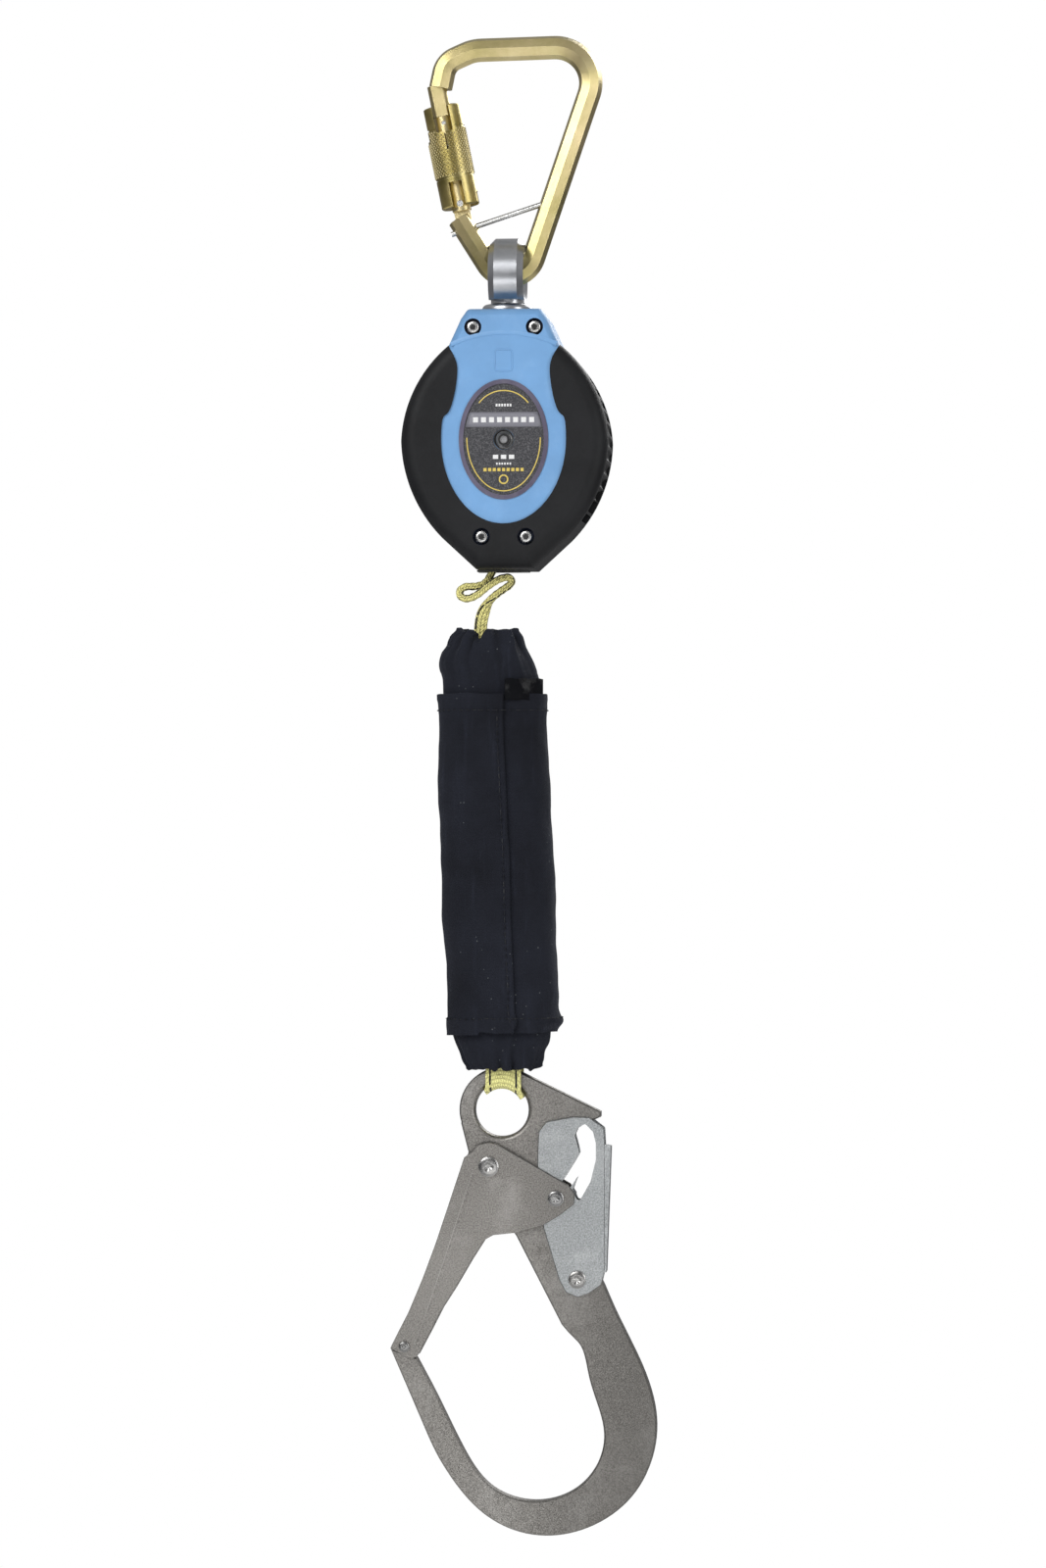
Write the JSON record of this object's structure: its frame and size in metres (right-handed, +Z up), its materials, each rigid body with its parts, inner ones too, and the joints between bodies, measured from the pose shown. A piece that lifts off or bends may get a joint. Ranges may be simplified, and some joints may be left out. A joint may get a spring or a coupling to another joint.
{
  "type": "self retracting lifeline",
  "caption": "Personal fall limiter: twist-lock carabiner, swivel eye, oval housing with a sprung webbing drum, covered energy absorber and a wide-gate rebar hook.",
  "frame": {"origin": "inside of the carabiner's top bow, where an anchor bears", "axes": "+Z up along the hanging length, +X to the right seen from the front, front faces -Y"},
  "size_m": [0.1306, 0.052, 0.7337],
  "materials": {
    "steel_yellow": "yellow passivated zinc",
    "sleeve_yellow": "knurled yellow zinc",
    "pin_steel": "bright",
    "eye_chrome": "polished",
    "inner_steel": "satin",
    "spring_steel": "satin",
    "cover_blue": "fine texture",
    "bumper_black": "matt",
    "label_dark": "satin print",
    "bezel_dark": "satin",
    "screw_steel": "bright",
    "nozzle_black": "matt",
    "drum_alloy": "die cast",
    "bush_bronze": "satin",
    "webbing_yellow": "woven aramid",
    "cloth_black": "woven, flame resistant",
    "hook_steel": "tumbled zinc",
    "lever_steel": "zinc plated"
  },
  "bodies": {
    "carabiner": {"carabiner_body": "steel_yellow", "captive_pin": "pin_steel"},
    "carabiner_gate": {"carabiner_gate": "steel_yellow", "gate_hinge_pin": "pin_steel", "gate_catch_pin": "pin_steel", "gate_plunger": "inner_steel", "gate_spring": "spring_steel"},
    "lock_sleeve": {"lock_sleeve": "sleeve_yellow", "sleeve_spring": "spring_steel"},
    "swivel_eye": {"swivel_eye": "eye_chrome", "bearing_washer": "bush_bronze", "swivel_nut": "inner_steel"},
    "housing": {"swivel_collar": "eye_chrome", "front_bumper": "bumper_black", "rear_bumper": "bumper_black", "front_cover": "cover_blue", "rear_cover": "cover_blue", "front_bezel": "bezel_dark", "rear_bezel": "bezel_dark", "front_label": "label_dark", "rear_label": "label_dark", "housing_screws": "screw_steel", "housing_nuts": "screw_steel", "line_nozzle": "nozzle_black", "frame_bracket": "inner_steel", "drum_shaft": "inner_steel", "centre_screw": "screw_steel", "tie_bolt": "screw_steel", "spring_cup": "inner_steel", "power_spring": "spring_steel", "ratchet_ring": "inner_steel"},
    "drum": {"drum": "drum_alloy", "drum_bush": "bush_bronze", "wound_line": "webbing_yellow", "pawl_pins": "inner_steel"},
    "pawl_a": {"pawl_a": "inner_steel"},
    "pawl_b": {"pawl_b": "inner_steel"},
    "absorber": {"lifeline": "webbing_yellow", "absorber_sleeve": "cloth_black", "absorber_wrap": "cloth_black", "tear_pack": "webbing_yellow", "line_coupling": "webbing_yellow", "hook_loop": "webbing_yellow"},
    "hook": {"hook_body": "hook_steel", "hook_gate_spring": "spring_steel", "lever_spring": "spring_steel"},
    "hook_gate": {"hook_gate": "hook_steel", "gate_pivot_rivet": "hook_steel", "gate_stud": "hook_steel", "tip_rivet": "hook_steel", "tip_pad": "hook_steel"},
    "lock_lever": {"lock_lever": "lever_steel", "lever_rivet": "hook_steel"}
  },
  "joints": [
    {"name": "gate_swing", "type": "hinge", "parent": "carabiner", "child": "carabiner_gate", "pos_m": [-0.0241, 0, -0.0705], "axis": [0, 1, 0], "range_deg": [0, 24], "stiffness_Nm_per_rad": 0.12, "springref_deg": -28.65},
    {"name": "sleeve_twist", "type": "hinge", "parent": "carabiner_gate", "child": "lock_sleeve", "pos_m": [-0.0241, 0, -0.0705], "axis": [-0.1994, 0, 0.9799], "range_deg": [0, 90]},
    {"name": "eye_swing", "type": "hinge", "parent": "carabiner", "child": "swivel_eye", "pos_m": [-0.001, 0, -0.1057], "axis": [1, 0, 0], "range_deg": [-45, 45]},
    {"name": "housing_swivel", "type": "hinge", "parent": "swivel_eye", "child": "housing", "pos_m": [-0.001, 0, -0.1236], "axis": [0, 0, 1], "continuous": true},
    {"name": "line_payout", "type": "slide", "parent": "housing", "child": "absorber", "axis": [0, 0, -1], "range_m": [0, 1.8], "stiffness_N_per_m": 5, "springref_m": -4.4},
    {"name": "drum_spin", "type": "hinge", "parent": "housing", "child": "drum", "pos_m": [-0.001, 0, -0.1874], "axis": [0, -1, 0], "range_deg": [0, 4860]},
    {"name": "pawl_a_swing", "type": "hinge", "parent": "drum", "child": "pawl_a", "pos_m": [0.0145, 0, -0.1874], "axis": [0, 1, 0], "range_deg": [0, 22], "stiffness_Nm_per_rad": 0.01, "springref_deg": -34.38},
    {"name": "pawl_b_swing", "type": "hinge", "parent": "drum", "child": "pawl_b", "pos_m": [-0.0165, 0, -0.1874], "axis": [0, 1, 0], "range_deg": [0, 22], "stiffness_Nm_per_rad": 0.01, "springref_deg": -34.38},
    {"name": "hook_swing", "type": "hinge", "parent": "absorber", "child": "hook", "pos_m": [-0.0036, 0, -0.4971], "axis": [1, 0, 0], "range_deg": [-20, 20]},
    {"name": "hook_gate_swing", "type": "hinge", "parent": "hook", "child": "hook_gate", "pos_m": [-0.0097, 0, -0.5415], "axis": [0, -1, 0], "range_deg": [0, 34], "stiffness_Nm_per_rad": 0.3, "springref_deg": -34.38},
    {"name": "lever_press", "type": "hinge", "parent": "hook", "child": "lock_lever", "pos_m": [0.0335, 0, -0.5966], "axis": [0, -1, 0], "range_deg": [0, 10.3]}
  ],
  "couplings": [
    {"joint": "drum_spin", "follows": "line_payout", "rad_per_m": 47.124},
    {"joint": "lever_press", "follows": "hook_gate_swing", "ratio": 0.3}
  ]
}
